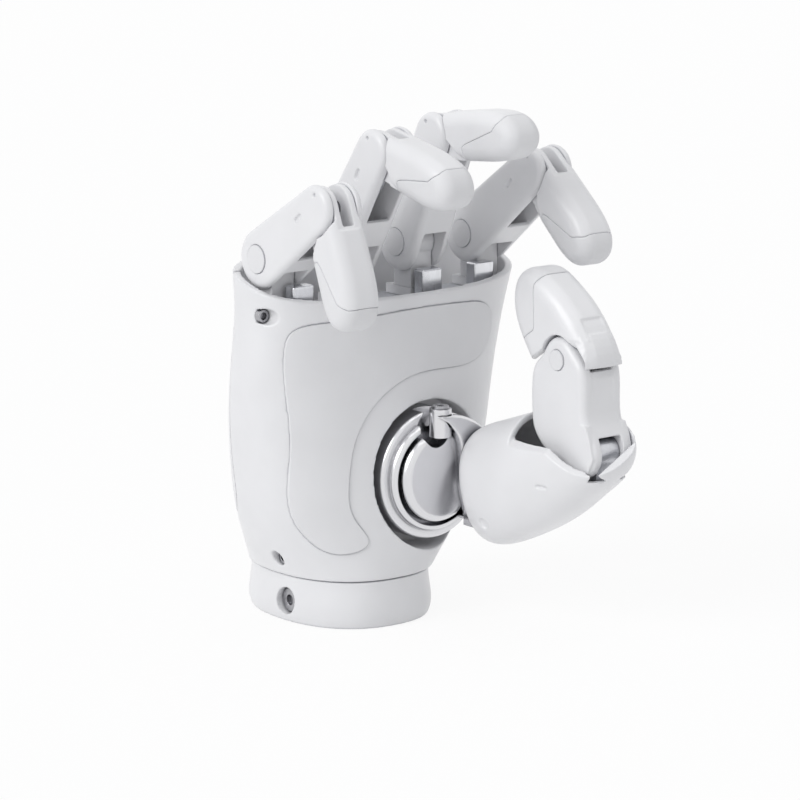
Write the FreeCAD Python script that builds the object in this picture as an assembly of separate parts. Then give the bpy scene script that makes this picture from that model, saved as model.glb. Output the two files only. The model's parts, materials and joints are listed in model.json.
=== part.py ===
import FreeCAD, Part
import math
import os

os.makedirs("parts", exist_ok=True)

V = FreeCAD.Vector

# A right robot hand, wrist down, drawn in millimetres.
# Z runs from the wrist face to the fingers, -Y is the palm side, +X is the thumb side.
# The pieces are placed in the grasping pose; every hinge is at its zero there.

# Driving sizes
WALL = 2.4              # casing wall
SEAM = 0.35             # gap between neighbouring casing pieces
RUN = 0.2               # side clearance of a cheek beside a lug or hub
PIN_FIT = 0.05          # radial clearance of a turning pin

# casing sections: height, centre x, centre y, half width, half depth, squareness
CASE = [
    (15.2, -1.5, 0.0, 26.2, 30.6, 2.3),
    (21.0, 0.2, 0.0, 30.4, 30.2, 2.3),
    (32.0, 3.1, 0.0, 37.8, 29.2, 2.3),
    (46.0, 5.3, 0.0, 43.0, 27.6, 2.35),
    (64.0, 6.8, 0.0, 46.2, 25.2, 2.4),
    (84.0, 9.4, 0.0, 48.4, 22.8, 2.4),
    (102.0, 12.5, 0.0, 50.2, 21.0, 2.6),
    (120.0, 14.0, 0.0, 50.4, 20.0, 2.7),
]
RIM_Z = 107.8           # rim height on the middle plane
RIM_SLOPE = 0.30        # the rim climbs towards the back of the hand
COLLAR_H = 15.0
COLLAR_A = 25.2
COLLAR_X = -1.8         # the collar stands off the bolt circle, towards the little finger
COLLAR_B = 30.6
PLATE_T = 6.0

FINGER_W = 14.2
LUG_W = 8.4
HUB_W = 8.4
SLOT_W = LUG_W + 2 * RUN
BASE_R = 9.3            # round end of a finger at the knuckle
EAR_R = 7.6             # round end of the cheeks at the finger joint
HUB_R = 7.1
PIN_R = 2.0
MCP_Y = -1.8
MCP_Z = 115.5
FIRST_X = -27.6
PITCH = 27.0
COUPLE = 1.6            # finger joint turns this much per knuckle turn
ROD_ARM = 4.5
ROD_PIN_R = 1.1
ROD_T = 2.6
CHEEK_GAP = 4.2
PIN_SKIN = 1.2          # material left over the end of a joint pin

# name, knuckle angle, finger joint angle, proximal length, distal length
FINGERS = [
    ("little", 57.0, 101.2, 34.0, 37.8),
    ("ring", 33.5, 69.0, 38.9, 37.6),
    ("middle", 25.5, 58.0, 38.9, 39.6),
    ("index", 53.0, 78.0, 38.9, 36.8),
]

# thumb turntable on the palm face
DISC_X = 15.2
DISC_Z = 45.2
WELL_R = 23.6
WELL_GAP = 2.9          # shadow gap round the turntable
DISC_R = WELL_R - WELL_GAP
WELL_FLOOR_Y = -14.0
WELL_FLOOR_T = 2.0
SHAFT_R = 6.0

THUMB_X = 33.0
THUMB_W = 16.4
THUMB_MCP = (-84.5, 60.0)
THUMB_IP = (-74.4, 88.0)
THUMB_TIP_LEN = 31.4
THUMB_LEAN = 33.0
THUMB_LUG_W = 9.6


# Shape helpers
def section(cx, cy, a, b, n, z, count=36):
    """Closed smooth oval between an ellipse and a rectangle, level at height z."""
    points = []
    for k in range(count):
        t = 2 * math.pi * (k + 0.5) / count
        c = math.cos(t)
        s = math.sin(t)
        x = cx + a * math.copysign(abs(c) ** (2.0 / n), c)
        y = cy + b * math.copysign(abs(s) ** (2.0 / n), s)
        points.append(V(x, y, z))
    curve = Part.BSplineCurve()
    curve.interpolate(points, PeriodicFlag=True)
    return Part.Wire([curve.toShape()])


def loft(wires):
    shape = Part.makeLoft(wires, True, False, False)
    if shape.Volume < 0:
        shape.reverse()
    return shape


def box(x0, x1, y0, y1, z0, z1):
    return Part.makeBox(x1 - x0, y1 - y0, z1 - z0, V(x0, y0, z0))


def rod_x(r, x0, x1, y, z):
    return Part.makeCylinder(r, x1 - x0, V(x0, y, z), V(1, 0, 0))


def rod_y(r, y0, y1, x, z):
    return Part.makeCylinder(r, y1 - y0, V(x, y0, z), V(0, 1, 0))


def rod_z(r, z0, z1, x, y):
    return Part.makeCylinder(r, z1 - z0, V(x, y, z0), V(0, 0, 1))


def fuse(shapes):
    first = shapes[0]
    if len(shapes) == 1:
        return first
    return first.fuse(shapes[1:]).removeSplitter()


def prism_x(points, x0, x1):
    """Flat outline in the YZ plane, drawn out along X."""
    pts = [V(x0, y, z) for y, z in points]
    pts.append(pts[0])
    return Part.Face(Part.makePolygon(pts)).extrude(V(x1 - x0, 0, 0))


def prism_y(points, y0, y1):
    """Flat outline in the XZ plane, drawn out along Y."""
    pts = [V(x, y0, z) for x, z in points]
    pts.append(pts[0])
    return Part.Face(Part.makePolygon(pts)).extrude(V(0, y1 - y0, 0))


def smooth_prism_y(points, y0, y1):
    """Closed smooth outline in the XZ plane, drawn out along Y."""
    curve = Part.BSplineCurve()
    curve.interpolate([V(x, y0, z) for x, z in points], PeriodicFlag=True)
    return Part.Face(Part.Wire([curve.toShape()])).extrude(V(0, y1 - y0, 0))


def link_outline(r0, c0, r1, c1, x0, x1):
    """Plate whose outline is the belt around two circles in the YZ plane."""
    dy = c1[0] - c0[0]
    dz = c1[1] - c0[1]
    dist = math.hypot(dy, dz)
    ang = math.atan2(dz, dy)
    off = math.acos((r0 - r1) / dist)

    def at(c, r, a):
        return V(x0, c[0] + r * math.cos(a), c[1] + r * math.sin(a))

    p0 = at(c0, r0, ang + off)
    p1 = at(c1, r1, ang + off)
    q0 = at(c0, r0, ang - off)
    q1 = at(c1, r1, ang - off)
    edges = [
        Part.LineSegment(p0, p1).toShape(),
        Part.Arc(p1, at(c1, r1, ang), q1).toShape(),
        Part.LineSegment(q1, q0).toShape(),
        Part.Arc(q0, at(c0, r0, ang + math.pi), p0).toShape(),
    ]
    return Part.Face(Part.Wire(edges)).extrude(V(x1 - x0, 0, 0))


def round_sides(shape, radius):
    """Round the edges that bound the two flat side faces."""
    edges = []
    for face in shape.Faces:
        n = face.normalAt(0, 0)
        if abs(abs(n.x) - 1) < 1e-6:
            edges.extend(face.Edges)
    return shape.makeFillet(radius, edges)


def save(name, shapes):
    if not isinstance(shapes, list):
        shapes = [shapes]
    solids = []
    for item in shapes:
        solids.extend(item.Solids)
    volume = sum(s.Volume for s in solids)
    ok = all(s.isValid() for s in solids)
    shape = solids[0] if len(solids) == 1 else Part.makeCompound(solids)
    shape.exportStep("parts/" + name + ".step")
    b = shape.BoundBox
    print("%-22s solids %d volume %.1f valid %s  x %.1f..%.1f y %.1f..%.1f z %.1f..%.1f"
          % (name, len(solids), volume, ok, b.XMin, b.XMax, b.YMin, b.YMax, b.ZMin, b.ZMax))


# Palm casing
def case_body(grow, z_low=None, z_high=None):
    wires = []
    for z, cx, cy, a, b, n in CASE:
        wires.append(section(cx, cy, a + grow, b + grow, n, z))
    return loft(wires)


def above_rim(extra):
    """Everything above the sloping rim plane."""
    tool = box(-80, 100, -80, 80, 0, 60)
    tool.rotate(V(0, 0, 0), V(1, 0, 0), math.degrees(math.atan(RIM_SLOPE)))
    tool.translate(V(0, 0, RIM_Z + extra))
    return tool


outer = case_body(0.0)

# screw wells in the casing: x, z on the palm face
CASE_SCREWS = [(-35.6, 98.5), (24.0, 18.4)]
SIDE_SCREW = (-5.0, 20.8)    # y, z on the flank
HEAD_R = 2.0
HEAD_WELL_R = 2.4
HEAD_SINK = 2.2
HEAD_T = 2.0


def case_depth(x, z):
    """Y of the palm face at a point of the casing."""
    hits = Part.makeLine(V(x, -60, z), V(x, 0, z)).common(outer)
    return hits.BoundBox.YMin


# the hollow inside the casing, less the well wall and the screw posts
hollow = case_body(-WALL)
hollow = hollow.cut(rod_y(WELL_R + 2.0, -45, WELL_FLOOR_Y + WELL_FLOOR_T, DISC_X, DISC_Z))
for sx, sz in CASE_SCREWS:
    hollow = hollow.cut(rod_y(4.2, case_depth(sx, sz), case_depth(sx, sz) + 9.0, sx, sz))
side_y, side_z = SIDE_SCREW
side_line = Part.makeLine(V(-60, side_y, side_z), V(0, side_y, side_z)).common(outer)
side_x = side_line.BoundBox.XMin
hollow = hollow.cut(rod_x(4.2, side_x, side_x + 9.0, side_y, side_z))
casing = outer.cut(hollow).cut(above_rim(0.0))

# round well in the palm face for the thumb turntable
casing = casing.cut(rod_y(WELL_R, -60, WELL_FLOOR_Y, DISC_X, DISC_Z))
casing = casing.cut(rod_y(SHAFT_R + 1.5, -60, 0, DISC_X, DISC_Z))

COVER_Y = 9.0
COVER_Z = 30.0
COVER_ROUND = 14.0


def cover_zone(gap):
    """Back of the casing, with a rounded lower front edge."""
    y0 = COVER_Y - gap
    z0 = COVER_Z - gap
    r = COVER_ROUND
    mid = r * (1 - math.sqrt(0.5))
    edges = [
        Part.LineSegment(V(-80, 80, z0), V(-80, y0 + r, z0)).toShape(),
        Part.Arc(V(-80, y0 + r, z0), V(-80, y0 + mid, z0 + mid), V(-80, y0, z0 + r)).toShape(),
        Part.LineSegment(V(-80, y0, z0 + r), V(-80, y0, 140)).toShape(),
        Part.LineSegment(V(-80, y0, 140), V(-80, 80, 140)).toShape(),
        Part.LineSegment(V(-80, 80, 140), V(-80, 80, z0)).toShape(),
    ]
    return Part.Face(Part.Wire(edges)).extrude(V(180, 0, 0))


back_zone = cover_zone(0.0)
back_gap = cover_zone(SEAM)
back_cover = casing.common(back_zone)

# palm panel: a thin raised plate that sweeps round the turntable well
PANEL_R = WELL_R + 9.0
panel_pts = [
    (-26.0, 27.0), (-31.5, 36.0), (-32.5, 60.0), (-32.8, 86.0), (-30.5, 93.6), (-20.0, 96.2),
    (10.0, 97.6), (34.0, 97.2), (43.5, 94.4), (46.0, 87.0), (40.0, 80.0), (26.0, 77.8),
    (10.0, 77.5), (-4.0, 71.5), (-13.5, 60.5), (-17.0, 47.0), (-15.5, 34.5), (-12.0, 27.5),
    (-18.0, 24.6),
]
panel_zone = smooth_prism_y(panel_pts, -60.0, -6.0)
PANEL_PROUD = 0.5
PANEL_DEEP = 1.0
panel = case_body(PANEL_PROUD).cut(case_body(-PANEL_DEEP)).common(panel_zone)
recess = case_body(PANEL_PROUD + 2.0).cut(case_body(-PANEL_DEEP)).common(panel_zone)
palm_shell = casing.cut(back_gap).cut(recess)

screw_solids = []
for sx, sz in CASE_SCREWS:
    face_y = case_depth(sx, sz)
    seat_y = face_y + HEAD_SINK + HEAD_T
    palm_shell = palm_shell.cut(rod_y(HEAD_WELL_R, face_y - 8, seat_y, sx, sz))
    palm_shell = palm_shell.cut(rod_y(1.25, seat_y - 0.5, face_y + 12.0, sx, sz))
    head = rod_y(HEAD_R, face_y + HEAD_SINK, seat_y, sx, sz)
    head = head.cut(rod_y(1.2, face_y + HEAD_SINK - 1.0, face_y + HEAD_SINK + 1.1, sx, sz))
    shank = rod_y(1.25, seat_y, face_y + 9.0, sx, sz)
    screw_solids.append(head.fuse(shank))
seat_x = side_x + HEAD_SINK + HEAD_T
palm_shell = palm_shell.cut(rod_x(HEAD_WELL_R, side_x - 5, seat_x, side_y, side_z))
palm_shell = palm_shell.cut(rod_x(1.25, seat_x - 0.5, side_x + 12.0, side_y, side_z))
head = rod_x(HEAD_R, side_x + HEAD_SINK, seat_x, side_y, side_z)
head = head.cut(rod_x(1.2, side_x + HEAD_SINK - 1.0, side_x + HEAD_SINK + 1.1, side_y, side_z))
screw_solids.append(head.fuse(rod_x(1.25, seat_x, side_x + 9.0, side_y, side_z)))

save("palm_shell", palm_shell)
save("back_cover", back_cover)
save("palm_panel", panel)
save("casing_screws", screw_solids)


# Wrist
COLLAR = [(0.0, -0.6), (2.5, 0.3), (8.0, 0.2), (COLLAR_H, -0.3)]
COLLAR_WALL = 3.0
FLANGE_TOP = 12.0
WRIST_SCREW_Y = -5.0
WRIST_SCREW_Z = 6.6
WRIST_WELL_R = 4.2
BOLT_PCD = 38.0
BOLT_R = 2.15
CABLE_BORE_R = 12.0


def collar_body(grow):
    wires = []
    for z, swell in COLLAR:
        wires.append(section(COLLAR_X, 0, COLLAR_A + swell + grow, COLLAR_B + swell + grow, 2.3, z))
    return loft(wires)


def flange_body(grow):
    a = COLLAR_A - COLLAR_WALL + grow
    b = COLLAR_B - COLLAR_WALL + grow
    return loft([section(COLLAR_X, 0, a, b, 2.3, 0.0), section(COLLAR_X, 0, a, b, 2.3, COLLAR_H + 1.0)])


collar = collar_body(0.0).cut(flange_body(0.0))
collar = collar.cut(rod_x(WRIST_WELL_R, -40, 40, WRIST_SCREW_Y, WRIST_SCREW_Z))
flange = flange_body(-0.1).common(box(-60, 60, -60, 60, -1, FLANGE_TOP))
flange = flange.cut(rod_z(CABLE_BORE_R, -1, 20, 0, 0))
for k in range(4):
    a = math.radians(45 + 90 * k)
    bx = BOLT_PCD / 2 * math.cos(a)
    by = BOLT_PCD / 2 * math.sin(a)
    flange = flange.cut(rod_z(BOLT_R, -1, 20, bx, by))
wrist_screws = []
edge_x = COLLAR_A - COLLAR_WALL
for side in (-1, 1):
    out = V(side, 0, 0)
    inner = COLLAR_X + side * (edge_x - 6.0)
    seat = COLLAR_X + side * (edge_x - 1.4)
    flange = flange.cut(Part.makeCylinder(1.6, 8, V(inner, WRIST_SCREW_Y, WRIST_SCREW_Z), out))
    flange = flange.cut(Part.makeCylinder(3.9, 8, V(seat, WRIST_SCREW_Y, WRIST_SCREW_Z), out))
    head = Part.makeCylinder(3.7, 2.6, V(seat, WRIST_SCREW_Y, WRIST_SCREW_Z), out)
    head = head.cut(Part.makeCylinder(1.7, 3, V(seat + side * 1.4, WRIST_SCREW_Y, WRIST_SCREW_Z), out))
    shank = Part.makeCylinder(1.6, 3.6, V(seat - side * 3.6, WRIST_SCREW_Y, WRIST_SCREW_Z), out)
    wrist_screws.append(head.fuse(shank))
save("wrist_collar", collar)
save("wrist_flange", flange)
save("wrist_screws", wrist_screws)

connector = rod_z(CABLE_BORE_R, 2.0, 11.0, 0, 0).cut(rod_z(9.2, 1.0, 8.0, 0, 0))
for k in range(8):
    a = math.radians(45 * k)
    connector = connector.fuse(rod_z(0.7, 5.0, 8.5, 5.4 * math.cos(a), 5.4 * math.sin(a)))
save("wrist_connector", connector)

# Inner frame, drives, board
BAR_Z0 = 92.0
BAR_Z1 = 98.0
SPINE_Y0 = 8.0
SPINE_Y1 = 11.0
DECK_Z0 = 55.6
DECK_Z1 = 58.6
MOTOR_R = 5.4
MOTOR_Y = 1.6
MOTOR_X = [-24.0, -1.5, 21.0, 43.0]
frame_boxes = [
    box(-22, 30, SPINE_Y0, SPINE_Y1, 26.0, BAR_Z1 - 1.0),
    box(-13, 13, SPINE_Y0 + 0.1, SPINE_Y1 - 0.1, FLANGE_TOP, 27.0),
    box(-9.5, 9.5, -9.0, SPINE_Y0 + 1.0, FLANGE_TOP, FLANGE_TOP + 3.0),
    box(-30.8, 55.8, -7.2, 6.6, BAR_Z0, BAR_Z1),
    box(-20.0, 28.0, 5.0, SPINE_Y1 - 0.5, BAR_Z0 + 0.5, BAR_Z1 - 0.5),
    box(-29.8, 43.0, -4.5, SPINE_Y1 - 0.4, DECK_Z0, DECK_Z1),
    box(41.0, 46.2, -4.0, 5.5, DECK_Z0 + 0.3, DECK_Z1 - 0.3),
]
frame = frame_boxes[0]
for piece in frame_boxes[1:]:
    frame = frame.fuse(piece)
for wx in (-12.0, 10.0):
    frame = frame.cut(box(wx, wx + 14.0, SPINE_Y0 - 1, SPINE_Y1 + 1, 64, 84))
frame = frame.cut(rod_z(6.5, 8, 17, 0, -1.0))

motors = []
for mx in MOTOR_X:
    can = rod_z(MOTOR_R, DECK_Z1, 86.0, mx, MOTOR_Y)
    neck = rod_z(3.4, 86.0, BAR_Z0, mx, MOTOR_Y)
    motors.append(can.fuse(neck).removeSplitter())

motor_y = WELL_FLOOR_Y + WELL_FLOOR_T
thumb_motor = rod_y(10.0, motor_y, SPINE_Y0, DISC_X, DISC_Z).fuse(rod_y(13.0, motor_y, motor_y + 2.0, DISC_X, DISC_Z))
thumb_motor = thumb_motor.cut(rod_y(SHAFT_R + PIN_FIT, WELL_FLOOR_Y - 1, WELL_FLOOR_Y + 12.0, DISC_X, DISC_Z))
thumb_motor = thumb_motor.removeSplitter()

board = box(-19, 27, SPINE_Y1 + 2.0, SPINE_Y1 + 3.6, 24, 60)
for px in (-16, 24):
    for pz in (27, 57):
        board = board.fuse(rod_y(1.6, SPINE_Y1, SPINE_Y1 + 2.0, px, pz))
board = board.fuse(box(-10, 0, SPINE_Y1 + 3.6, SPINE_Y1 + 5.0, 36, 46))
board = board.fuse(box(6, 20, SPINE_Y1 + 3.6, SPINE_Y1 + 6.4, 28, 33))
board = board.fuse(box(6, 16, SPINE_Y1 + 3.6, SPINE_Y1 + 4.8, 42, 50))
board = board.removeSplitter()

save("palm_frame", frame)
save("finger_motors", motors)
save("thumb_motor", thumb_motor)
save("control_board", board)

# Knuckles
LUG_R = 5.4
lugs = []
blocks = []
mcp_pins = []
for k, (name, knuckle, joint, length, tip) in enumerate(FINGERS):
    fx = FIRST_X + k * PITCH
    lug = rod_x(LUG_R, fx - LUG_W / 2, fx + LUG_W / 2, MCP_Y, MCP_Z)
    lug = lug.fuse(box(fx - LUG_W / 2, fx + LUG_W / 2, MCP_Y - 4.2, MCP_Y + 4.2, BAR_Z1 + 3.0, MCP_Z))
    foot_x0 = max(fx - LUG_W / 2 - 0.4, -30.8)
    lug = lug.fuse(box(foot_x0, fx + LUG_W / 2 + 0.4, -6.4, 6.2, BAR_Z1, BAR_Z1 + 3.0))
    lug = lug.cut(rod_x(PIN_R, fx - 10, fx + 10, MCP_Y, MCP_Z)).removeSplitter()
    lugs.append(lug)
    shift = 3.6 if k == 0 else (-5.9 if k == 3 else 0.0)
    block = box(fx + shift - 4.0, fx + shift + 4.0, -11.9, -7.2, BAR_Z0 + 1.0, 107.4)
    block = block.makeFillet(0.7, block.Edges)
    blocks.append(block)
    mcp_pins.append(rod_x(PIN_R, fx - FINGER_W / 2 + 1.2, fx + FINGER_W / 2 - 1.2, MCP_Y, MCP_Z))
save("finger_lugs", lugs)
save("knuckle_blocks", blocks)
save("knuckle_pins", mcp_pins)


# One finger
def place(shape, angle, x, y, z):
    """Turn about X through the origin, then move to the joint."""
    out = shape.copy()
    out.rotate(V(0, 0, 0), V(1, 0, 0), angle)
    out.translate(V(x, y, z))
    return out


def proximal_shape(length, w, base_r, ear_r):
    """Cheeked link along +Z from the knuckle to the next joint, palm side -Y."""
    solid = link_outline(base_r, (0, 0), ear_r, (0, length), -w / 2, w / 2)
    solid = round_sides(solid, 2.1)
    h = SLOT_W / 2
    solid = solid.cut(box(-h, h, -20, LUG_R + 0.5, -20, 8.0))
    solid = solid.cut(box(-h, h, -7.3, 4.6, 7.0, length))
    solid = solid.cut(box(-h, h, -20, 4.6, 0.46 * length, length))
    solid = solid.cut(box(-h, h, -20, 20, length - HUB_R - 0.6, length + 20))
    solid = solid.cut(rod_x(PIN_R + PIN_FIT, -w / 2 + 1.0, w / 2 - 1.0, 0, 0))
    solid = solid.cut(rod_x(PIN_R, -w / 2 + PIN_SKIN, w / 2 - PIN_SKIN, 0, length))
    slot = link_outline(0.85, (1.0, length * 0.74), 0.84, (1.2, length * 0.74 + 2.2), -w, -w / 2 + 0.8)
    solid = solid.cut(slot).cut(slot.mirror(V(0, 0, 0), V(1, 0, 0)))
    dot = rod_x(0.6, -w, -w / 2 + 0.9, 3.4, length + 3.6)
    solid = solid.cut(dot).cut(dot.mirror(V(0, 0, 0), V(1, 0, 0)))
    return solid


def finger_profile(tip, half_t):
    """Side view of a fingertip, from the back round the tip to the palm side."""
    t = half_t
    return [(0.90 * t, -1.0), (0.94 * t, 0.55 * tip), (0.86 * t, 0.76 * tip), (0.52 * t, 0.93 * tip), (-0.10 * t, tip),
            (-0.66 * t, 0.955 * tip), (-0.95 * t, 0.82 * tip), (-t, 0.62 * tip), (-0.94 * t, -1.0)]


def distal_outer(profile, w):
    """Fingertip body from the joint to the tip, along +Z, with well rounded sides."""
    pts = [V(-w / 2, y, z) for y, z in profile]
    curve = Part.BSplineCurve()
    curve.interpolate(pts[1:-1])
    edges = [Part.LineSegment(pts[0], pts[1]).toShape(), curve.toShape(),
             Part.LineSegment(pts[-2], pts[-1]).toShape(), Part.LineSegment(pts[-1], pts[0]).toShape()]
    solid = Part.Face(Part.Wire(edges)).extrude(V(w, 0, 0))
    return round_sides(solid, 0.33 * w)


def distal_shape(profile, tip, w, half_t, hub_w, hub_r, clear_r, relief):
    """White shell with the two hub cheeks, and the soft pad let into it."""
    body = distal_outer(profile, w)
    side = rod_x(clear_r, -w, w, 0, 0)
    core = box(-hub_w / 2, hub_w / 2, -40, 40, -40, 80)
    body = body.cut(side.cut(core))
    body = body.cut(box(-w, w, -40, 40, -40, 0).cut(core))
    # relief on the palm side, so that the link folds against the one before it
    wedge = prism_x(relief, -w, w).cut(core)
    body = body.cut(wedge)
    inside = body.common(core)
    hub = rod_x(hub_r, -hub_w / 2, hub_w / 2, 0, 0)
    keep = hub.fuse(box(-hub_w / 2, hub_w / 2, -hub_r, hub_r, 0, clear_r + 3))
    body = body.cut(core).fuse(inside.common(box(-w, w, -40, 40, clear_r, 90))).fuse(keep.common(
        box(-w, w, -hub_r, hub_r, -40, clear_r + 1.0)))
    body = body.removeSplitter()
    g = CHEEK_GAP / 2
    body = body.cut(box(-g, g, -40, 40, -40, hub_r + 0.2))
    body = body.cut(rod_x(PIN_R + PIN_FIT, -w, w, 0, 0))
    body = body.cut(rod_x(ROD_PIN_R, -hub_w, hub_w, -ROD_ARM, 0))
    # pad: palm face and end of the fingertip
    z0 = tip * 0.40
    pad_zone = prism_x([(-half_t - 5, z0), (-0.42 * half_t, z0), (-0.30 * half_t, z0 + 2.0),
                        (0.15 * half_t, tip * 0.78), (0.55 * half_t, tip * 0.86), (half_t + 5, tip * 0.88),
                        (half_t + 5, tip + 5), (-half_t - 5, tip + 5)], -w, w)
    pad = body.common(pad_zone)
    shell = body.cut(pad_zone)
    return shell, pad


def rod_shape(length):
    """Flat pull rod with an eye at the pin, running down the link before it."""
    t = ROD_T / 2
    bar = link_outline(1.9, (0, 0), 1.5, (0.6, -length), -t, t)
    return bar.cut(rod_x(ROD_PIN_R + PIN_FIT, -5, 5, 0, 0))


CLEAR_R = EAR_R + 0.9
CAP_R = 4.4
HALF_T = 8.2
FINGER_RELIEF = [(-1.2, -1.0), (-1.2, CLEAR_R + 0.4), (-8.7, CLEAR_R + 7.9), (-40.0, CLEAR_R + 7.9), (-40.0, -1.0)]
for k, (name, knuckle, joint, length, tip) in enumerate(FINGERS):
    fx = FIRST_X + k * PITCH
    prox = place(proximal_shape(length, FINGER_W, BASE_R, EAR_R), knuckle, fx, MCP_Y, MCP_Z)
    a = math.radians(knuckle)
    jy = MCP_Y - length * math.sin(a)
    jz = MCP_Z + length * math.cos(a)
    total = knuckle + joint
    shell, pad = distal_shape(finger_profile(tip, HALF_T), tip, FINGER_W, HALF_T, HUB_W, HUB_R, CLEAR_R, FINGER_RELIEF)
    b = math.radians(total)
    ry = jy - ROD_ARM * math.cos(b)
    rz = jz - ROD_ARM * math.sin(b)
    rod = place(rod_shape(0.42 * length), knuckle, fx, ry, rz)
    cap = rod_x(CAP_R, -FINGER_W / 2 - 0.3, -FINGER_W / 2 + 0.9, 0, 0)
    caps = [place(cap, knuckle, fx, MCP_Y, MCP_Z),
            place(cap.mirror(V(0, 0, 0), V(1, 0, 0)), knuckle, fx, MCP_Y, MCP_Z)]
    prox = prox.cut(caps[0]).cut(caps[1])
    save(name + "_proximal", prox)
    save(name + "_caps", caps)
    save(name + "_joint_pin", place(rod_x(PIN_R, -FINGER_W / 2 + PIN_SKIN, FINGER_W / 2 - PIN_SKIN, 0, 0), knuckle, fx, jy, jz))
    save(name + "_distal", place(shell, total, fx, jy, jz))
    save(name + "_tip_pad", place(pad, total, fx, jy, jz))
    save(name + "_rod", rod)
    save(name + "_rod_pin", place(rod_x(ROD_PIN_R, -HUB_W / 2 + 0.1, HUB_W / 2 - 0.1, -ROD_ARM, 0), total, fx, jy, jz))


# Thumb
TURN_BACK_Y = WELL_FLOOR_Y - 0.4
RIM_Y = -26.6           # front of the outer ring
STEP_R = 17.8
STEP_Y = -29.0
DOME_R = 14.7
DOME_Y = -31.4
FAIRING_Y = -34.6


def front_edges(shape, y):
    return [e for e in shape.Edges if abs(e.CenterOfMass.y - y) < 0.01]


disc = rod_y(DISC_R, RIM_Y, TURN_BACK_Y, DISC_X, DISC_Z)
disc = disc.makeFillet(1.2, front_edges(disc, RIM_Y))
step = rod_y(STEP_R, STEP_Y, RIM_Y + 2.0, DISC_X, DISC_Z)
step = step.makeFillet(1.8, front_edges(step, STEP_Y))
dome = rod_y(DOME_R, DOME_Y, RIM_Y + 2.0, DISC_X, DISC_Z)
dome = dome.makeFillet(2.6, front_edges(dome, DOME_Y))
groove = rod_y(DOME_R + 1.3, STEP_Y - 1, RIM_Y + 0.2, DISC_X, DISC_Z).cut(
    rod_y(DOME_R, STEP_Y - 2, RIM_Y + 1, DISC_X, DISC_Z))
shaft = rod_y(SHAFT_R, TURN_BACK_Y - 1, WELL_FLOOR_Y + 11.0, DISC_X, DISC_Z)
turntable = disc.fuse(step).removeSplitter().cut(groove).fuse([dome, shaft]).removeSplitter()
# pocket below the pivot boss, and the open top of the turntable
pocket = smooth_prism_y([(8.6, 57.5), (9.4, 63.0), (13.6, 66.0), (17.6, 62.0), (16.6, 56.8), (12.6, 54.9)], -40.0, -24.4)
top_gap = smooth_prism_y([(13.0, 61.5), (12.4, 70.0), (24.0, 72.0), (35.0, 66.0), (31.6, 61.2), (24.0, 63.6), (17.6, 62.6)],
                         -40.0, -20.4)
BOSS_X = 15.2
BOSS_Y = -30.0
BOSS_Z = 67.0
BOSS_R = 3.5
turntable = turntable.cut(pocket).cut(top_gap).cut(rod_z(BOSS_R + 0.05, BOSS_Z - 9.2, 80, BOSS_X, BOSS_Y))

# egg-shaped metacarpal: sections across a sloping axis
EGG_SEAM = 0.15          # gap between the bracket and the egg-shaped link
EGG_A = V(28.0, -35.6, 40.5)
EGG_B = V(33.0, -96.2, 62.0)
# place along the axis, rise off the axis, half width, half height
EGG = [(0.0, -1.6, 9.6, 14.6), (0.07, -0.5, 12.0, 18.0), (0.30, 0.3, 13.4, 18.8), (0.50, 1.2, 13.4, 17.8),
       (0.68, 2.2, 12.8, 15.4), (0.81, 3.0, 12.0, 13.2), (0.91, 3.6, 10.6, 10.8), (0.97, 4.0, 8.0, 7.6),
       (1.0, 4.2, 4.6, 4.2)]


def egg_body(grow, k0, k1):
    axis = EGG_B - EGG_A
    length = axis.Length
    axis = axis.normalize()
    side = V(1, 0, 0)
    side = side - axis * side.dot(axis)
    side = side.normalize()
    up = side.cross(axis)
    if up.z < 0:
        up = up * -1
    wires = []
    for k, rise, a, b in EGG:
        if k < k0 or k > k1:
            continue
        centre = EGG_A + axis * (k * length) + up * rise
        points = []
        for i in range(28):
            t = 2 * math.pi * (i + 0.5) / 28
            c = math.cos(t)
            q = math.sin(t)
            du = (a + grow) * math.copysign(abs(c) ** 0.87, c)
            dv = (b + grow) * math.copysign(abs(q) ** 0.87, q)
            points.append(centre + side * du + up * dv)
        curve = Part.BSplineCurve()
        curve.interpolate(points, PeriodicFlag=True)
        wires.append(Part.Wire([curve.toShape()]))
    return loft(wires)


egg = egg_body(0.0, 0.0, 1.0)
egg_hollow = egg_body(-2.2, 0.05, 0.95)
# the mouth falls away from the palm, and climbs towards the far side
MOUTH_Y = -59.0
mouth = prism_x([(MOUTH_Y, 150), (MOUTH_Y, 63.2), (-76.0, 63.2), (-89.5, 56.4), (-95.0, 55.0), (-140.0, 55.0),
                 (-140.0, 150)], -80, 120)
mouth.rotate(V(THUMB_X - THUMB_W / 2, 0, 60), V(0, 1, 0), -30.0)
link_slot = box(THUMB_X - THUMB_W / 2 - 0.5, THUMB_X + THUMB_W / 2 + 0.5, -92.6, MOUTH_Y, 52.7, 140)
metacarpal = egg.cut(egg_hollow).cut(mouth).cut(link_slot)
# shallow slot, screw recess and end plug on the outer flank
flank_slot = box(0, 60, -76.6, -72.4, 48.8, 49.9)
flank_recess = Part.makeCylinder(1.7, 60, V(-20, -48.0, 33.0), V(1, 0, 0))
mould_marks = flank_slot.fuse(flank_recess).common(egg_body(1.0, 0.0, 1.0).cut(egg_body(-0.8, 0.0, 1.0)))
mould_marks = mould_marks.common(box(-20, THUMB_X, -140, 0, 0, 140))
metacarpal = metacarpal.cut(mould_marks)

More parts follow.
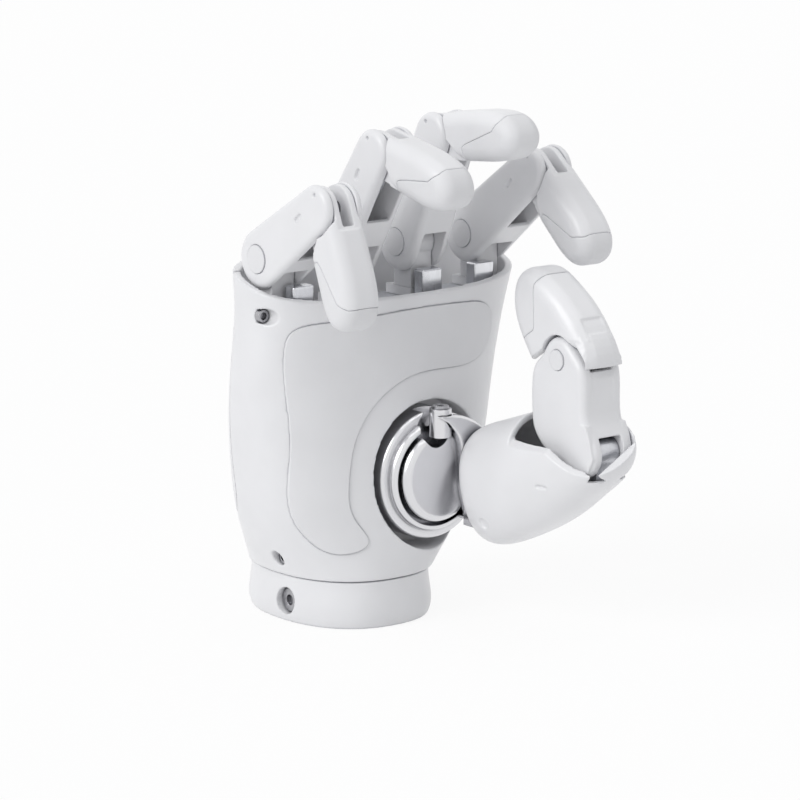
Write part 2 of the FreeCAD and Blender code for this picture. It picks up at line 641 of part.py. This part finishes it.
knuckle_y, knuckle_z = THUMB_MCP
lug_zone = prism_x([(knuckle_y - 4.4, knuckle_z), (knuckle_y + 4.6, knuckle_z),
                    (knuckle_y + 12.0, 30.0), (knuckle_y - 3.0, 30.0)],
                   THUMB_X - LUG_W / 2, THUMB_X + LUG_W / 2)
thumb_lug = lug_zone.common(egg_hollow).fuse(rod_x(5.0, THUMB_X - LUG_W / 2, THUMB_X + LUG_W / 2,
                                                   knuckle_y, knuckle_z))
thumb_lug = thumb_lug.cut(rod_x(PIN_R, 0, 60, knuckle_y, knuckle_z)).removeSplitter()

# fairing over one side of the turntable, which carries the metacarpal
FAIRING = [(9.4, 66.4), (14.3, 63.2), (18.2, 59.6), (20.0, 56.4), (20.9, 50.0), (21.2, 45.0), (21.2, 40.0),
           (22.4, 35.6), (23.6, 31.0), (27.0, 27.4), (33.0, 28.4), (37.0, 36.0), (38.0, 45.0), (35.6, 54.0),
           (29.4, 61.8), (22.0, 65.2), (14.5, 67.4)]
fairing = smooth_prism_y(FAIRING, FAIRING_Y, DOME_Y).common(rod_y(DISC_R - 0.6, -50, 0, DISC_X, DISC_Z))
fairing = fairing.makeFillet(1.0, front_edges(fairing, FAIRING_Y))
skirt = smooth_prism_y(FAIRING, DOME_Y - 0.6, STEP_Y).common(rod_y(STEP_R - 0.6, -50, 0, DISC_X, DISC_Z))
skirt = skirt.cut(rod_y(DOME_R + 1.4, -50, 0, DISC_X, DISC_Z))
foot = box(22.5, 34.0, -40.0, FAIRING_Y + 2.0, 29.0, 54.0)
bracket = fairing.cut(rod_z(BOSS_R + 0.7, BOSS_Z - 6.0, 80, BOSS_X, BOSS_Y))
bracket = bracket.fuse(rod_z(BOSS_R, BOSS_Z - 9.0, BOSS_Z, BOSS_X, BOSS_Y)).fuse(skirt).fuse(foot)
bracket = bracket.cut(egg_body(EGG_SEAM, 0.0, 1.0))
bracket = max(bracket.Solids, key=lambda q: q.Volume)
boss_screw = rod_z(2.6, BOSS_Z, BOSS_Z + 0.9, BOSS_X, BOSS_Y).cut(rod_z(1.1, BOSS_Z + 0.3, BOSS_Z + 2, BOSS_X, BOSS_Y))

# thumb proximal link: outline in the YZ plane
ip_y, ip_z = THUMB_IP
T_EAR = 7.0
T_HUB = 6.6
KNUCKLE_HALF = 6.9
outline = [(-84.5, 53.0), (-89.2, 55.0), (-91.4, 59.8), (-89.8, 65.4), (-87.2, 70.0), (-86.3, 77.0),
           (-86.1, 83.0), (-84.9, 87.2), (-82.2, 90.2), (-80.0, 92.3)]
for deg in (112, 90, 68, 48):
    a = math.radians(deg)
    outline.append((ip_y + T_EAR * math.cos(a), ip_z + T_EAR * math.sin(a)))
outline.extend([(-66.4, 88.8), (-62.9, 85.2), (-61.6, 81.0), (-61.5, 72.0), (-62.6, 65.0), (-68.0, 59.0),
                (-76.5, 54.6)])
x0 = THUMB_X - THUMB_W / 2
x1 = THUMB_X + THUMB_W / 2
curve = Part.BSplineCurve()
curve.interpolate([V(x0, y, z) for y, z in outline], PeriodicFlag=True)
t_prox = Part.Face(Part.Wire([curve.toShape()])).extrude(V(THUMB_W, 0, 0))
t_prox = round_sides(t_prox, 2.4)
h0 = THUMB_X - SLOT_W / 2
h1 = THUMB_X + SLOT_W / 2
t_prox = t_prox.cut(box(h0, h1, -120, -50, 40, knuckle_z + 5.6))
t_prox = t_prox.cut(box(h0, h1, -80.6, -66.0, 69.0, 90.0))
t_prox = t_prox.cut(box(h0, h1, -120, -78.0, 76.0, 120))
t_prox = t_prox.cut(box(h0, h1, -120, -50, ip_z - T_HUB - 0.6, 120))
# the knuckle end is narrower, to turn inside the metacarpal
for lo_x, hi_x in ((x0 - 1, THUMB_X - KNUCKLE_HALF), (THUMB_X + KNUCKLE_HALF, x1 + 1)):
    t_prox = t_prox.cut(box(lo_x, hi_x, -120, -77.5, 40, 68.0))
k0 = THUMB_X - KNUCKLE_HALF
k1 = THUMB_X + KNUCKLE_HALF
t_prox = t_prox.cut(rod_x(PIN_R + PIN_FIT, k0 + 1.0, k1 - 1.0, knuckle_y, knuckle_z))
t_prox = t_prox.cut(rod_x(PIN_R, x0 - 5, x1 + 5, ip_y, ip_z))
t_caps = []
for joint_x, knuckle_x, out in ((x0, k0, -1), (x1, k1, 1)):
    ring = Part.makeCylinder(3.1, 1.3, V(joint_x - out * 0.9, ip_y, ip_z), V(out, 0, 0))
    t_caps.append(ring)
    ring = Part.makeCylinder(4.0, 1.2, V(knuckle_x - out * 0.9, knuckle_y, knuckle_z), V(out, 0, 0))
    t_caps.append(ring)
for ring in t_caps:
    t_prox = t_prox.cut(ring)

T_PROFILE = [(12.9, -1.0), (12.4, 6.0), (10.4, 14.5), (6.4, 23.6), (1.6, 30.0), (-4.2, 31.4), (-10.0, 27.6),
             (-13.4, 20.6), (-14.2, 12.0), (-13.6, -1.0)]
T_RELIEF = [(-4.0, -1.5), (-4.0, 5.8), (-40.0, 5.8), (-40.0, -1.5)]
t_shell, t_pad = distal_shape(T_PROFILE, THUMB_TIP_LEN, THUMB_W, 13.0, HUB_W, T_HUB, T_EAR + 0.6, T_RELIEF)


def place_thumb(shape):
    out = shape.copy()
    out.rotate(V(0, 0, 0), V(0, 0, 1), 180)
    out.rotate(V(0, 0, 0), V(1, 0, 0), -THUMB_LEAN)
    out.translate(V(THUMB_X, ip_y, ip_z))
    return out


lean = math.radians(THUMB_LEAN)
t_rod_y = ip_y + ROD_ARM * math.cos(lean)
t_rod_z = ip_z - ROD_ARM * math.sin(lean)
t_rod = rod_shape(13.0)
t_rod.rotate(V(0, 0, 0), V(0, 0, 1), 180)
t_rod.translate(V(THUMB_X, t_rod_y, t_rod_z))

save("thumb_turntable", turntable)
save("thumb_bracket", bracket)
save("thumb_boss_screw", boss_screw)
save("thumb_metacarpal", metacarpal)
save("thumb_lug", thumb_lug)
save("thumb_knuckle_pin", rod_x(PIN_R, k0 + 1.0, k1 - 1.0, knuckle_y, knuckle_z))
save("thumb_proximal", t_prox)
save("thumb_caps", t_caps)
save("thumb_joint_pin", rod_x(PIN_R, x0 + 0.9, x1 - 0.9, ip_y, ip_z))
save("thumb_distal", place_thumb(t_shell))
save("thumb_tip_pad", place_thumb(t_pad))
save("thumb_rod", t_rod)
save("thumb_rod_pin", place_thumb(rod_x(ROD_PIN_R, -HUB_W / 2 + 0.1, HUB_W / 2 - 0.1, -ROD_ARM, 0)))
print("built")
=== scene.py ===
import bpy
import bmesh
import json
import math
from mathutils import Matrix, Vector


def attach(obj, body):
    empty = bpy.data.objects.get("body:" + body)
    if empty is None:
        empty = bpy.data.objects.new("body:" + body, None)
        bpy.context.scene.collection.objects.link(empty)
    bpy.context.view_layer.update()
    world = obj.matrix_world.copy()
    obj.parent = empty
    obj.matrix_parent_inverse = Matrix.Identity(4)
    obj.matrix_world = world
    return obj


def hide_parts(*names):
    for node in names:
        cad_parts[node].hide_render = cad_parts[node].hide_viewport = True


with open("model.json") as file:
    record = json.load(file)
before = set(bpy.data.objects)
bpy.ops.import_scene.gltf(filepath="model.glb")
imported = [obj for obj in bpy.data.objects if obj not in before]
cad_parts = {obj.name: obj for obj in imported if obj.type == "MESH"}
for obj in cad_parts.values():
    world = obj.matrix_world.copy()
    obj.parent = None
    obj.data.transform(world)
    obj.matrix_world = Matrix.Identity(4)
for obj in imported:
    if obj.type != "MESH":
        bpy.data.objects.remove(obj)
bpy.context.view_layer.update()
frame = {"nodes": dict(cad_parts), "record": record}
NODES = frame["nodes"]
BODIES = frame["record"]["behaviour"]["bodies"]
MM = 0.001
FINGERS = ("little", "ring", "middle", "index")
EDGE_RADIUS = 0.35 * MM
# colours and reaches of the painted shade that darkens base colour in gaps and grooves
PAINTED_SHADE_PLASTIC = (0.62, 0.63, 0.66)
PAINTED_SHADE_METAL = (0.16, 0.16, 0.18)
PAINTED_SHADE_REACH_PLASTIC = 1.0 * MM
PAINTED_SHADE_REACH_METAL = 3.0 * MM
PAINTED_SHADE_REACH_TURNED = 4.0 * MM
BOARD_DARK = (0.02, 0.09, 0.055)
BOARD_GREEN = (0.035, 0.16, 0.09)
SHARP_EDGE = math.radians(32)


# Materials

class Graph:
    """A material's node tree, with short ways to add and join nodes."""

    def __init__(self, name):
        self.material = bpy.data.materials.new(name)
        self.material.use_nodes = True
        self.tree = self.material.node_tree
        self.shader = self.tree.nodes["Principled BSDF"]
        self.coords = self.node("ShaderNodeTexCoord").outputs["Object"]

    def node(self, kind, **settings):
        made = self.tree.nodes.new(kind)
        for key, value in settings.items():
            setattr(made, key, value)
        return made

    def join(self, source, target):
        self.tree.links.new(source, target)

    def noise(self, scale, detail=3.0, roughness=0.5, vector=None):
        made = self.node("ShaderNodeTexNoise")
        made.inputs["Scale"].default_value = scale
        made.inputs["Detail"].default_value = detail
        made.inputs["Roughness"].default_value = roughness
        self.join(vector or self.coords, made.inputs["Vector"])
        return made.outputs["Fac"]

    def spread(self, value, low, high, from_low=0.3, from_high=0.7):
        made = self.node("ShaderNodeMapRange")
        made.inputs["From Min"].default_value = from_low
        made.inputs["From Max"].default_value = from_high
        made.inputs["To Min"].default_value = low
        made.inputs["To Max"].default_value = high
        self.join(value, made.inputs["Value"])
        return made.outputs["Result"]

    def math(self, operation, a, b=None):
        made = self.node("ShaderNodeMath", operation=operation)
        for socket, value in zip(made.inputs, (a, b)):
            if value is None:
                continue
            if isinstance(value, (int, float)):
                socket.default_value = value
            else:
                self.join(value, socket)
        return made.outputs["Value"]

    def blend(self, factor, first, second):
        made = self.node("ShaderNodeMix", data_type="RGBA")
        made.inputs["A"].default_value = (*first, 1.0)
        made.inputs["B"].default_value = (*second, 1.0)
        self.join(factor, made.inputs["Factor"])
        return made.outputs["Result"]

    def painted_crevice_shade(self, color, reach, dark):
        """That colour with painted shade: darker where ambient occlusion finds the surface deep in a gap
        or a groove.
        """
        # ambient occlusion sets where the painted shade falls
        near = self.node("ShaderNodeAmbientOcclusion", samples=6)
        near.inputs["Distance"].default_value = reach
        made = self.node("ShaderNodeMix", data_type="RGBA", blend_type="MULTIPLY")
        made.inputs["Factor"].default_value = 1.0
        self.join(color, made.inputs["A"])
        painted_shade_tint = self.blend(self.spread(near.outputs["AO"], 0.0, 1.0, 0.15, 0.8), dark, (1.0, 1.0, 1.0))
        self.join(painted_shade_tint, made.inputs["B"])
        return made.outputs["Result"]

    def bump(self, height, distance, strength=1.0):
        made = self.node("ShaderNodeBump")
        made.inputs["Strength"].default_value = strength
        made.inputs["Distance"].default_value = distance
        self.join(height, made.inputs["Height"])
        soft = self.node("ShaderNodeBevel", samples=4)
        soft.inputs["Radius"].default_value = EDGE_RADIUS
        self.join(soft.outputs["Normal"], made.inputs["Normal"])
        self.join(made.outputs["Normal"], self.shader.inputs["Normal"])


def shade(color, factor):
    return tuple(min(1.0, c * factor) for c in color)


def moulded(name, color, rough, grain=0.00003, grain_scale=1500.0, coat=0.0, vary=0.02):
    """Moulded plastic: faint clouding, uneven gloss and a fine grain."""
    g = Graph(name)
    cloud = g.noise(55.0, 2.0)
    clouded = g.blend(g.spread(cloud, 0.0, 1.0), shade(color, 1 - vary), shade(color, 1 + vary))
    # base colour with painted shade in gaps and grooves
    g.join(g.painted_crevice_shade(clouded, PAINTED_SHADE_REACH_PLASTIC, PAINTED_SHADE_PLASTIC), g.shader.inputs["Base Color"])
    g.join(g.spread(g.noise(160.0, 4.0), rough - 0.05, rough + 0.06), g.shader.inputs["Roughness"])
    g.bump(g.noise(grain_scale, 2.0), grain, 0.6)
    g.shader.inputs["Coat Weight"].default_value = coat
    g.shader.inputs["Coat Roughness"].default_value = 0.2
    return g.material


def metal(name, color, rough, streak=(1.0, 1.0, 1.0), streak_scale=400.0, depth=0.00002, vary=0.06):
    """Worked metal: streaks along one direction in colour, gloss and height."""
    g = Graph(name)
    mapping = g.node("ShaderNodeMapping")
    mapping.inputs["Scale"].default_value = streak
    g.join(g.coords, mapping.inputs["Vector"])
    lines = g.noise(streak_scale, 3.0, 0.6, mapping.outputs["Vector"])
    streaked = g.blend(g.spread(lines, 0.0, 1.0), shade(color, 1 - vary), shade(color, 1 + vary))
    # base colour with painted shade in gaps and grooves
    g.join(g.painted_crevice_shade(streaked, PAINTED_SHADE_REACH_METAL, PAINTED_SHADE_METAL), g.shader.inputs["Base Color"])
    g.join(g.spread(g.noise(90.0, 3.0), rough - 0.06, rough + 0.08), g.shader.inputs["Roughness"])
    g.bump(lines, depth, 0.7)
    g.shader.inputs["Metallic"].default_value = 1.0
    return g.material


def turned(name, color, rough, centre):
    """Metal turned on a lathe about an axis along Y: fine rings in gloss and height."""
    g = Graph(name)
    split = g.node("ShaderNodeSeparateXYZ")
    g.join(g.coords, split.inputs["Vector"])
    dx = g.math("SUBTRACT", split.outputs["X"], centre[0])
    dz = g.math("SUBTRACT", split.outputs["Z"], centre[1])
    radius = g.math("SQRT", g.math("ADD", g.math("MULTIPLY", dx, dx), g.math("MULTIPLY", dz, dz)))
    combine = g.node("ShaderNodeCombineXYZ")
    g.join(radius, combine.inputs["X"])
    rings = g.noise(2600.0, 2.0, 0.6, combine.outputs["Vector"])
    ringed = g.blend(g.spread(rings, 0.0, 1.0), shade(color, 0.97), shade(color, 1.03))
    # base colour with painted shade in the disc's grooves and steps
    g.join(g.painted_crevice_shade(ringed, PAINTED_SHADE_REACH_TURNED, PAINTED_SHADE_METAL), g.shader.inputs["Base Color"])
    g.join(g.spread(rings, rough - 0.03, rough + 0.04), g.shader.inputs["Roughness"])
    g.bump(rings, 0.000004, 0.3)
    g.shader.inputs["Metallic"].default_value = 1.0
    return g.material


def circuit(name):
    """Green board with darker tracks."""
    g = Graph(name)
    cells = g.node("ShaderNodeTexVoronoi", distance="MANHATTAN")
    cells.inputs["Scale"].default_value = 260.0
    g.join(g.coords, cells.inputs["Vector"])
    tracks = g.spread(cells.outputs["Distance"], 0.0, 1.0, 0.2, 0.5)
    g.join(g.blend(tracks, BOARD_DARK, BOARD_GREEN), g.shader.inputs["Base Color"])
    g.join(g.spread(g.noise(300.0), 0.35, 0.5), g.shader.inputs["Roughness"])
    return g.material


WHITE = (0.80, 0.80, 0.815)
ALONG_X = (0.1, 1.0, 1.0)
ALONG_Z = (1.0, 1.0, 0.1)
DISC_CENTRE = (15.2 * MM, 45.2 * MM)
MATERIALS = {
    "white_shell": moulded("shell_white", WHITE, 0.34, coat=0.25),
    "palm_panel": moulded("panel_white", shade(WHITE, 0.97), 0.5, grain=0.00006, grain_scale=1100.0),
    "white_link": moulded("link_white", WHITE, 0.36, coat=0.2),
    "white_cap": moulded("cap_white", shade(WHITE, 0.97), 0.42),
    "soft_pad": moulded("pad_white", shade(WHITE, 0.96), 0.58, grain=0.00008, grain_scale=900.0),
    "alloy": metal("alloy_blasted", (0.62, 0.63, 0.66), 0.38, streak_scale=900.0),
    "bright_alloy": turned("alloy_turned", (0.74, 0.74, 0.76), 0.24, DISC_CENTRE),
    "bright_block": metal("alloy_bright", (0.74, 0.75, 0.78), 0.24, streak=ALONG_Z, streak_scale=600.0),
    "screw_steel": metal("steel_plain", (0.45, 0.45, 0.47), 0.32, streak_scale=700.0),
    "pin_steel": metal("steel_ground", (0.60, 0.60, 0.62), 0.25, streak=ALONG_X, streak_scale=1200.0),
    "motor_steel": metal("drive_can", (0.30, 0.31, 0.34), 0.42, streak=ALONG_Z),
    "board": circuit("board_green"),
    "dark_plastic": moulded("plastic_black", (0.035, 0.035, 0.04), 0.45),
}


# nodes that show another finish than their slot's, as the photograph has them
SHOWN_AS = {"thumb_lug": "alloy", "knuckle_blocks": "bright_block"}


def dress(obj, slot):
    obj.data.materials.clear()
    obj.data.materials.append(MATERIALS[slot])


for part in frame["record"]["subparts"]:
    node = NODES[part["node"]]
    dress(node, SHOWN_AS.get(part["node"], part["material_slot"]))
    node.data.shade_smooth()
    node.data.set_sharp_from_angle(angle=SHARP_EDGE)


# Moulded edges: the moulded pieces get small soft radii

FINE = 0.28 * MM
MIDDLE = 0.36 * MM
COARSE = 0.42 * MM


def soften(node, voxel, passes=4):
    """Round every edge of a moulded piece a little, which also opens the seams between pieces."""
    cells = node.modifiers.new("cells", "REMESH")
    cells.mode = "VOXEL"
    cells.voxel_size = voxel
    cells.use_smooth_shade = True
    smooth = node.modifiers.new("smooth", "SMOOTH")
    smooth.factor = 0.5
    smooth.iterations = passes


for finger in FINGERS:
    for piece in ("proximal", "distal", "tip_pad"):
        soften(NODES[finger + "_" + piece], FINE)
soften(NODES["thumb_tip_pad"], FINE)
for name in ("thumb_metacarpal", "wrist_collar"):
    soften(NODES[name], MIDDLE)
for name in ("palm_shell", "back_cover"):
    soften(NODES[name], COARSE)


# Thumb: the link and the tip shell have closed backs. Sizes in millimetres, angles in degrees.

THUMB_X = 33.0           # middle of the thumb
THUMB_HALF = 8.2         # half its width
IP_Y = -74.4             # the pin between link and tip
IP_Z = 88.0
LEAN = math.radians(33.0)  # of the tip, over the palm
CHEEK = 1.0              # half thickness of the link's cheeks at the knuckle
PLATE_HALF = 5.6
ROOF_HALF = 4.9
# outlines (y, z)
BACK_PLATE = ((-86.5, 73.0), (-86.2, 77.0), (-86.0, 83.0), (-85.4, 85.4), (-83.2, 85.4), (-83.0, 73.0))
KNUCKLE_END = ((-77.0, 55.0), (-84.5, 53.2), (-89.0, 55.2), (-91.1, 59.8), (-89.6, 65.4), (-87.6, 69.5),
               (-77.0, 69.5))
# the roof over the tip's slot: radius and angle about the joint
ROOF = ((12.7, 0), (13.1, 22), (14.2, 36), (12.0, 46), (9.0, 32), (8.6, 0))
# the flap of the tip's back, which reaches down over the joint: angle, inner and outer radius
FLAP = ((10, 9.2, 12.95), (0, 9.2, 13.0), (-10, 9.7, 13.1), (-20, 10.7, 13.2), (-30, 11.8, 13.2),
        (-39, 12.0, 13.1))


def across(outline, half, shift=0.0):
    """Two rings of points with one outline (y, z), a half width either side of the thumb's middle."""
    return [[(THUMB_X + shift + side * half, y, z) for y, z in outline] for side in (-1, 1)]


def filled(name, node_name, body, fills):
    """A copy of a node's form, grown together with closed fills, in place of that node."""
    mesh = bmesh.new()
    mesh.from_mesh(NODES[node_name].data)
    for fill in fills:
        rings = [[mesh.verts.new((x * MM, y * MM, z * MM)) for x, y, z in ring] for ring in fill]
        count = len(rings[0])
        mesh.faces.new(rings[0])
        mesh.faces.new(list(reversed(rings[-1])))
        for first, second in zip(rings, rings[1:]):
            for i in range(count):
                j = (i + 1) % count
                mesh.faces.new((first[j], first[i], second[i], second[j]))
    bmesh.ops.triangulate(mesh, faces=mesh.faces)
    data = bpy.data.meshes.new(name)
    mesh.to_mesh(data)
    mesh.free()
    obj = bpy.data.objects.new(name, data)
    bpy.context.scene.collection.objects.link(obj)
    obj.data.materials.append(MATERIALS["white_link"])
    soften(obj, FINE, passes=5)
    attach(obj, body)
    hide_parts(node_name)
    return obj


def about_joint(radius, degrees):
    """Point at that angle of the tip's own frame, which leans over the palm."""
    a = math.radians(degrees)
    back = radius * math.cos(a)
    up = radius * math.sin(a)
    y = IP_Y - back * math.cos(LEAN) + up * math.sin(LEAN)
    z = IP_Z + back * math.sin(LEAN) + up * math.cos(LEAN)
    return y, z


def flap_ring(degrees, inner, outer):
    """Section through the flap at that angle, rounded towards the thumb's sides."""
    shoulder = max(inner + 0.5, outer - 1.2)
    half = [(3.4, outer - 0.1), (6.3, shoulder), (7.5, inner + 0.25), (7.3, inner)]
    section = [(-x, radius) for x, radius in reversed(half)] + [(0.0, outer)] + half
    return [(THUMB_X + x, *about_joint(radius, degrees)) for x, radius in section]


filled("thumb_link_shell", "thumb_proximal", "thumb_link",
       [across(BACK_PLATE, PLATE_HALF), across(KNUCKLE_END, CHEEK, CHEEK - THUMB_HALF),
        across(KNUCKLE_END, CHEEK, THUMB_HALF - CHEEK)])
roof = [about_joint(radius, degrees) for radius, degrees in ROOF]
filled("thumb_tip_shell", "thumb_distal", "thumb_tip",
       [[flap_ring(*station) for station in FLAP], across(roof, ROOF_HALF)])


# Floor, light and camera

FLOOR_SIZE = 30.0
FLOOR_Z = -0.0002
FLOOR_LIFT = 0.9         # how far the floor that is looked at goes to plain white
SKY_STRENGTH = 0.50


def plane(name, size, z):
    mesh = bpy.data.meshes.new(name)
    h = size / 2
    mesh.from_pydata([(-h, -h, z), (h, -h, z), (h, h, z), (-h, h, z)], [], [(0, 1, 2, 3)])
    obj = bpy.data.objects.new(name, mesh)
    bpy.context.scene.collection.objects.link(obj)
    return obj


def looked_at(tree):
    """1 where a ray is the camera's, or one that metal or glass sends on, and else 0."""
    path = tree.nodes.new("ShaderNodeLightPath")
    value = path.outputs["Is Camera Ray"]
    for kind in ("Is Glossy Ray", "Is Transmission Ray"):
        either = tree.nodes.new("ShaderNodeMath")
        either.operation = "MAXIMUM"
        tree.links.new(value, either.inputs[0])
        tree.links.new(path.outputs[kind], either.inputs[1])
        value = either.outputs[0]
    return value


def mix_shaders(tree, factor, first, second, output):
    """Join the two shaders, mixed by the factor, to the tree's output node."""
    mix = tree.nodes.new("ShaderNodeMixShader")
    for source, socket in zip((factor, first, second), mix.inputs):
        tree.links.new(source, socket)
    tree.links.new(mix.outputs[0], tree.nodes[output].inputs["Surface"])


floor = plane("floor", FLOOR_SIZE, FLOOR_Z)
g = Graph("floor_white")
g.join(g.blend(g.noise(3.0), (0.93, 0.93, 0.93), (0.94, 0.94, 0.94)), g.shader.inputs["Base Color"])
g.shader.inputs["Roughness"].default_value = 0.9
g.shader.inputs["Specular IOR Level"].default_value = 0.1
glow = g.node("ShaderNodeEmission")
glow.inputs["Strength"].default_value = 1.0
lift = g.math("MULTIPLY", looked_at(g.tree), FLOOR_LIFT)
mix_shaders(g.tree, lift, g.shader.outputs[0], glow.outputs[0], "Material Output")
floor.data.materials.append(g.material)

world = bpy.data.worlds.new("studio")
bpy.context.scene.world = world
world.use_nodes = True
sky = world.node_tree.nodes["Background"]
sky.inputs["Color"].default_value = (0.97, 0.98, 1.0, 1.0)
sky.inputs["Strength"].default_value = SKY_STRENGTH
white = world.node_tree.nodes.new("ShaderNodeBackground")
white.inputs["Color"].default_value = (1.0, 1.0, 1.0, 1.0)
mix_shaders(world.node_tree, looked_at(world.node_tree), sky.outputs[0], white.outputs[0], "World Output")


def sun(name, direction, strength, spread):
    """A soft distant lamp that shines from that direction."""
    data = bpy.data.lights.new(name, "SUN")
    data.energy = strength
    data.angle = math.radians(spread)
    obj = bpy.data.objects.new(name, data)
    obj.rotation_euler = Vector(direction).to_track_quat("Z", "Y").to_euler()
    bpy.context.scene.collection.objects.link(obj)


sun("key", (-1.0, 0.0, 0.7), 1.3, 35)
sun("top", (0.2, -0.1, 1.0), 0.6, 60)

# the camera stands where the photograph's stood
AIM = Vector((7.0, -20.0, 69.0)) * MM
DISTANCE = 1126.0 * MM
AZIMUTH = math.radians(-38.0)
ELEVATION = math.radians(11.8)
SENSOR = 36.0
FOCAL_PX = 3603.0
IMAGE_PX = 800.0
toward = Vector((math.sin(AZIMUTH) * math.cos(ELEVATION), -math.cos(AZIMUTH) * math.cos(ELEVATION),
                 math.sin(ELEVATION)))
camera_data = bpy.data.cameras.new("camera")
camera_data.sensor_width = SENSOR
camera_data.lens = SENSOR * FOCAL_PX / IMAGE_PX
camera = bpy.data.objects.new("camera", camera_data)
camera.location = AIM + toward * DISTANCE
camera.rotation_euler = toward.to_track_quat("Z", "Y").to_euler()
bpy.context.scene.collection.objects.link(camera)
bpy.context.scene.camera = camera
bpy.context.scene.view_settings.view_transform = "Standard"

bpy.context.view_layer.update()
